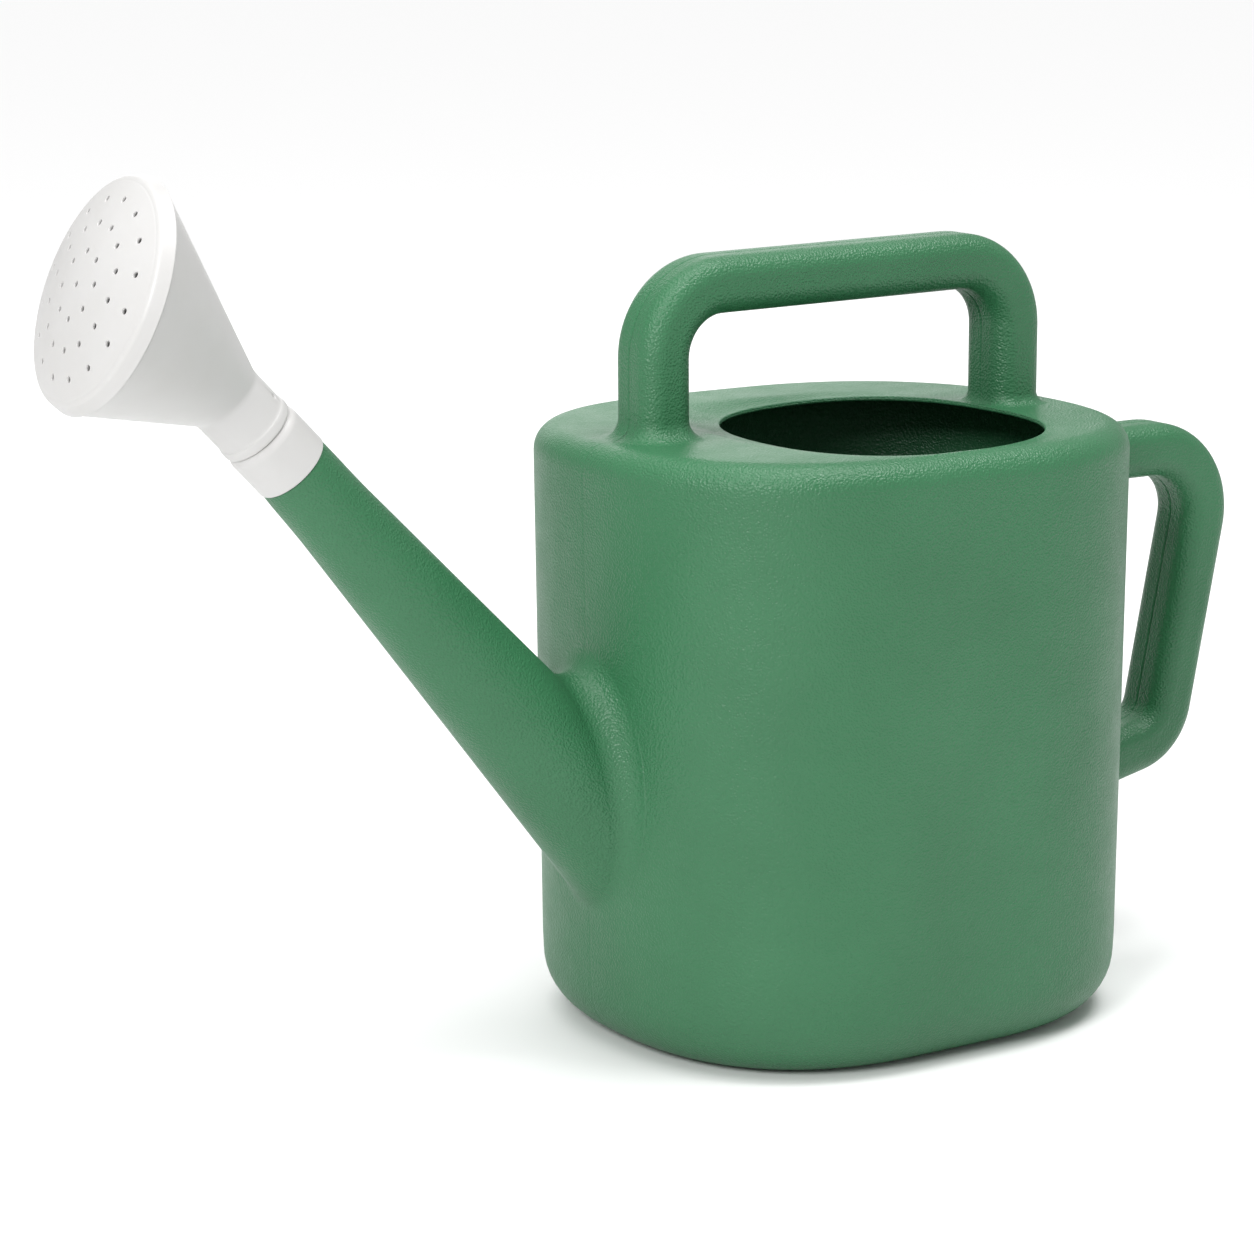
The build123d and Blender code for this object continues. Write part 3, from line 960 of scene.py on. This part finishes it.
@dataclass
class RoseCap:
    """Domed cap with real jets: rings of cells, each with a hole in its middle.

    The dome is the cap of a sphere, divided into rings of equal cells. Every circle between two
    rings carries the same number of points, so neighbouring cells share their edges, and a cell
    is spread between its hole and its boundary.
    """

    face: Datum
    front_radius: float = 44.4
    back_radius: float = 46.4
    skirt: float = 5.5
    skirt_bore: float = 43.45
    skirt_top: float = -1.3
    rise: float = 8.4
    thickness: float = 1.8
    hole: float = 1.2
    rings: Sequence[tuple[float, int, float]] = ((13.0, 8, 2.0), (24.3, 14, 2.0), (34.8, 16, 4.5))
    edges: Sequence[float] = (6.5, 18.4, 29.5, 40.0)
    points_round: int = 112
    countersink: float = 0.15
    groove: float = 42.4
    groove_width: float = 1.2
    groove_depth: float = 0.07
    rim_round: float = 1.2
    rim_hold: float = 0.1
    rim_inset: float = 0.3

    def height(self, radius: Array, depth: float) -> Array:
        """Height of the dome over the plane of its edge, at a depth below its outer face."""
        sphere = (self.front_radius**2 + self.rise**2) / (2 * self.rise)
        return np.sqrt(np.maximum((sphere - depth) ** 2 - radius**2, 0.0)) - (sphere - self.rise)

    def hoop(self, radius: float, z: float) -> Array:
        """Circle in the plane of the face, with a height."""
        turn = turns(self.points_round)
        return np.stack([radius * np.cos(turn), radius * np.sin(turn), np.full(len(turn), z)], axis=1)

    def cell(self, centre: Array, boundary: Array, depth: float) -> Array:
        """Rings from a hole's edge to its cell's boundary, in the plane of the face.

        Args:
            centre: the hole's middle, shape (2,).
            boundary: closed boundary of the cell, anticlockwise, shape (n, 2).
            depth: 0 for the outer face, or the wall's thickness for the inner one.

        Returns:
            Points with heights, shape (rings, n, 3).
        """
        ray = unit(boundary - centre)
        rim = self.hole + (self.countersink if depth == 0 else 0.0)
        start = centre + rim * ray
        t = np.array([0.0, 0.04, 0.12, 0.3, 0.6, 1.0])[:, None, None]
        flat = start * (1 - t) + boundary * t
        z = self.height(np.linalg.norm(flat, axis=2), depth)
        return np.concatenate([flat, z[..., None]], axis=2)

    def cells(self) -> list[tuple[Array, Array]]:
        """Middle and boundary of every cell, the central one included."""
        step = 2 * math.pi / self.points_round
        around = np.arange(self.points_round) * step
        found = [(np.zeros(2), self.edges[0] * np.stack([np.cos(around), np.sin(around)], axis=1))]
        for (radius, count, first), low, high in zip(self.rings, self.edges[:-1], self.edges[1:]):
            width = self.points_round // count
            for index in range(count):
                middle = (first + index * width) * step
                span = (first - width / 2 + index * width + np.arange(width + 1)) * step
                arc = np.stack([np.cos(span), np.sin(span)], axis=1)
                climb = np.linspace(low, high, 5)[1:-1, None]
                loop = np.concatenate([high * arc, climb[::-1] * arc[-1], low * arc[::-1], climb * arc[0]])
                found.append((radius * np.array([math.cos(middle), math.sin(middle)]), loop))
        return found

    def rim(self) -> Array:
        """Rings from the outermost cells over the soft groove and the skirt, and back inside."""
        edge = self.edges[-1]
        run = np.linspace(edge, self.front_radius - self.rim_round - self.rim_hold, 19)
        hollow = np.clip(1 - (2 * (run - self.groove) / self.groove_width) ** 2, 0.0, 1.0) ** 2
        dome = zip(run, self.height(run, 0.0) - self.groove_depth * hollow, np.zeros(len(run)))
        rim_top = float(self.height(np.array(self.front_radius - self.rim_inset), 0.0))
        profile = [
            *dome,
            (self.front_radius, rim_top, self.rim_round),
            (self.back_radius, -self.skirt, 0.5),
            (self.skirt_bore, -self.skirt, CRISP),
            (self.skirt_bore, self.skirt_top, 0.8),
            (edge, float(self.height(np.array(edge), self.thickness)), 0.0),
        ]
        corners = np.stack([self.hoop(r, z) for r, z, _ in profile])
        return rounded_rings(corners, [cut for *_, cut in profile])

    def build(self, material: Material) -> Piece:
        """Makes the perforated dome, its rounded rim and its skirt as one closed shell."""
        grids: list[Array] = []
        for centre, boundary in self.cells():
            outer = self.cell(centre, boundary, 0.0)
            inner = self.cell(centre, boundary, self.thickness)
            throat = inner[0].copy()
            throat[:, 2] = outer[0, :, 2] - self.countersink
            grids.append(np.concatenate([inner[::-1], throat[None], outer]))
        grids.append(self.rim())
        sizes = [grid.shape[0] * grid.shape[1] for grid in grids]
        starts = np.cumsum([0] + sizes[:-1])
        faces = [grid_faces(*grid.shape[:2], False) + start for grid, start in zip(grids, starts)]
        flat = np.concatenate([grid.reshape(-1, 3) for grid in grids])
        world = self.face.place(flat[:, 0], flat[:, 1], flat[:, 2])
        piece = mesh_object("rose_cap_shell", world, faces)
        weld(piece, 1e-6)
        return dress(piece, material, Body.CAP, Slot.ROSE, "rose_cap")


def weld(piece: Piece, distance: float) -> None:
    """Joins points closer than a distance in metres and turns every face outwards."""
    shell = bmesh.new()
    shell.from_mesh(piece.data)
    bmesh.ops.remove_doubles(shell, verts=shell.verts, dist=distance)
    bmesh.ops.recalc_face_normals(shell, faces=shell.faces)
    shell.to_mesh(piece.data)
    shell.free()


@dataclass
class Seal:
    """Rubber washer squeezed into the collar in front of the spigot."""

    neck: Datum
    start: float = 10.6
    end: float = 12.9
    radius: float = 13.42
    bore: float = 8.2
    edge_round: float = 0.6
    columns: int = 96

    def build(self, material: Material) -> Piece:
        """Makes the washer with well-rounded edges."""
        start, end = self.start, self.end
        corners = [(start, self.bore), (start, self.radius), (end, self.radius), (end, self.bore)]
        grid = turned([(self.neck, s, r, self.edge_round) for s, r in corners], self.columns)
        piece = grid_object("seal_washer", grid, closed=True)
        return dress(piece, material, Body.COLLAR, Slot.SEAL, "sealing_ring")


# --- Studio ---


def stand(data: bpy.types.ID, place: Array, axes: Sequence[Array]) -> Piece:
    """Stands a camera or a light at a place in metres, with its own x, y and z axes given."""
    staged = bpy.data.objects.new(data.name, data)
    turn = Matrix(np.column_stack(axes).tolist()).to_4x4()
    staged.matrix_world = Matrix.Translation(place) @ turn
    bpy.context.scene.collection.objects.link(staged)
    return staged


@dataclass(frozen=True)
class Lamp:
    """A square soft light: its place and edge length in metres, and its power in watts."""

    name: str
    place: Triple
    size: float
    power: float


@dataclass
class Studio:
    """Pale floor, soft lights and a long lens set low to the side of the spout.

    The camera looks back along an azimuth and elevation in degrees, with a slight roll, at an
    aim in metres. The floor is in millimetres, and sends less light back than it shows.
    """

    azimuth: float = -32.24
    elevation: float = 12.05
    roll: float = -0.27
    distance: float = 1.5688
    aim_height: float = 0.16239
    aim_aside: float = -0.08495
    lens: float = 107.55
    sensor: float = 36.0
    sky_strength: float = 0.45
    overhead_strength: float = 1.8
    overhead_spread: float = 60.0
    floor_shown: Triple = (0.95, 0.95, 0.95)
    floor_bounce: Triple = (0.8, 0.8, 0.8)
    floor_half: float = 30000.0
    lamp_aim: Triple = (0.0, 0.0, 0.2)
    lamps: Sequence[Lamp] = (
        Lamp("key", (-2.2, -1.3, 1.7), 0.9, 45.0),
        Lamp("edge", (0.45, -0.55, 2.1), 0.6, 13.0),
        Lamp("back", (0.9, 2.05, 0.95), 1.4, 7.0),
    )

    def camera(self) -> None:
        """Sets the camera on the sphere about its aim, looking back at it."""
        azimuth, elevation, roll = (math.radians(a) for a in (self.azimuth, self.elevation, self.roll))
        back = np.array([
            math.sin(azimuth) * math.cos(elevation),
            -math.cos(azimuth) * math.cos(elevation),
            math.sin(elevation),
        ])
        right = np.array([math.cos(azimuth), math.sin(azimuth), 0.0])
        up = np.cross(back, right)
        aim = right * self.aim_aside + np.array([0.0, 0.0, self.aim_height])
        rolled_right = right * math.cos(roll) + up * math.sin(roll)
        rolled_up = up * math.cos(roll) - right * math.sin(roll)
        data = bpy.data.cameras.new("studio_camera")
        data.lens, data.sensor_width = self.lens, self.sensor
        place = aim + back * self.distance
        bpy.context.scene.camera = stand(data, place, [rolled_right, rolled_up, back])

    def floor(self) -> None:
        """Lays a wide pale floor."""
        corners = np.array([[-1, -1, 0], [1, -1, 0], [1, 1, 0], [-1, 1, 0]]) * self.floor_half
        floor = mesh_object("studio_floor", corners, [np.array([[0, 1, 2, 3]])])
        sheet = NodeSheet("pale_floor")
        seen = sheet.add("ShaderNodeLightPath").outputs["Is Camera Ray"]
        sheet.feed("Base Color", sheet.mix(seen, self.floor_bounce, self.floor_shown))
        sheet.hold("Roughness", 0.9)
        sheet.hold("Specular IOR Level", 0.1)
        floor.data.materials.append(sheet.material)

    def hang(self, lamp: Lamp) -> None:
        """Hangs a square soft light that faces the lamps' common aim."""
        data = bpy.data.lights.new(lamp.name, "AREA")
        data.size, data.energy = lamp.size, lamp.power
        back = unit(np.array(lamp.place) - np.array(self.lamp_aim))
        right = unit(np.cross((0.0, 0.0, 1.0), back))
        stand(data, np.array(lamp.place), [right, np.cross(back, right), back])

    def overhead(self) -> None:
        """Hangs one very wide light straight above, so that the floor has no hot spot."""
        data = bpy.data.lights.new("overhead", "SUN")
        data.angle, data.energy = math.radians(self.overhead_spread), self.overhead_strength
        stand(data, np.zeros(3), list(np.eye(3)))

    def build(self) -> None:
        """Sets up camera, floor, sky and lights."""
        self.camera()
        self.floor()
        world = bpy.data.worlds.new("studio_sky")
        world.use_nodes = True
        sky = world.node_tree.nodes["Background"].inputs
        sky["Color"].default_value = (1.0, 1.0, 1.0, 1.0)
        sky["Strength"].default_value = self.sky_strength
        bpy.context.scene.world = world
        bpy.context.scene.view_settings.view_transform = "Standard"
        self.overhead()
        for lamp in self.lamps:
            self.hang(lamp)


def main() -> None:
    """Builds the studio and every piece in order."""
    logging.basicConfig(level=logging.INFO, format="%(name)s: %(message)s")
    Studio().build()
    neck = Datum(x=-250.48, z=253.46, angle=46.8)
    face = Datum(x=-328.3, z=325.6, angle=22.2)
    root = Datum(x=-84.8, z=64.3, angle=46.8)
    top_line = [(-87.4, 264.0), (-87.4, 310.2), (89.0, 312.4), (89.0, 264.0)]
    rear_line = [(136.0, 222.8), (202.5, 222.8), (176.4, 93.3), (140.0, 85.5)]
    top_handle = Handle(top_line, bends=[28.6, 28.6], start_fillet=8.0, end_fillet=5.0)
    rear_handle = Handle(rear_line, bends=[29.0, 22.0], start_fillet=6.0, end_fillet=6.0)
    Can(Tank(), Spout(neck, root), top_handle, rear_handle, CanPlastic()).build()
    white = RosePlastic().build()
    Collar(neck).build(white)
    Seal(neck).build(SealRubber().build())
    RoseCone(neck, face).build(white)
    RoseCap(face).build(white)


if __name__ == "__main__":
    main()
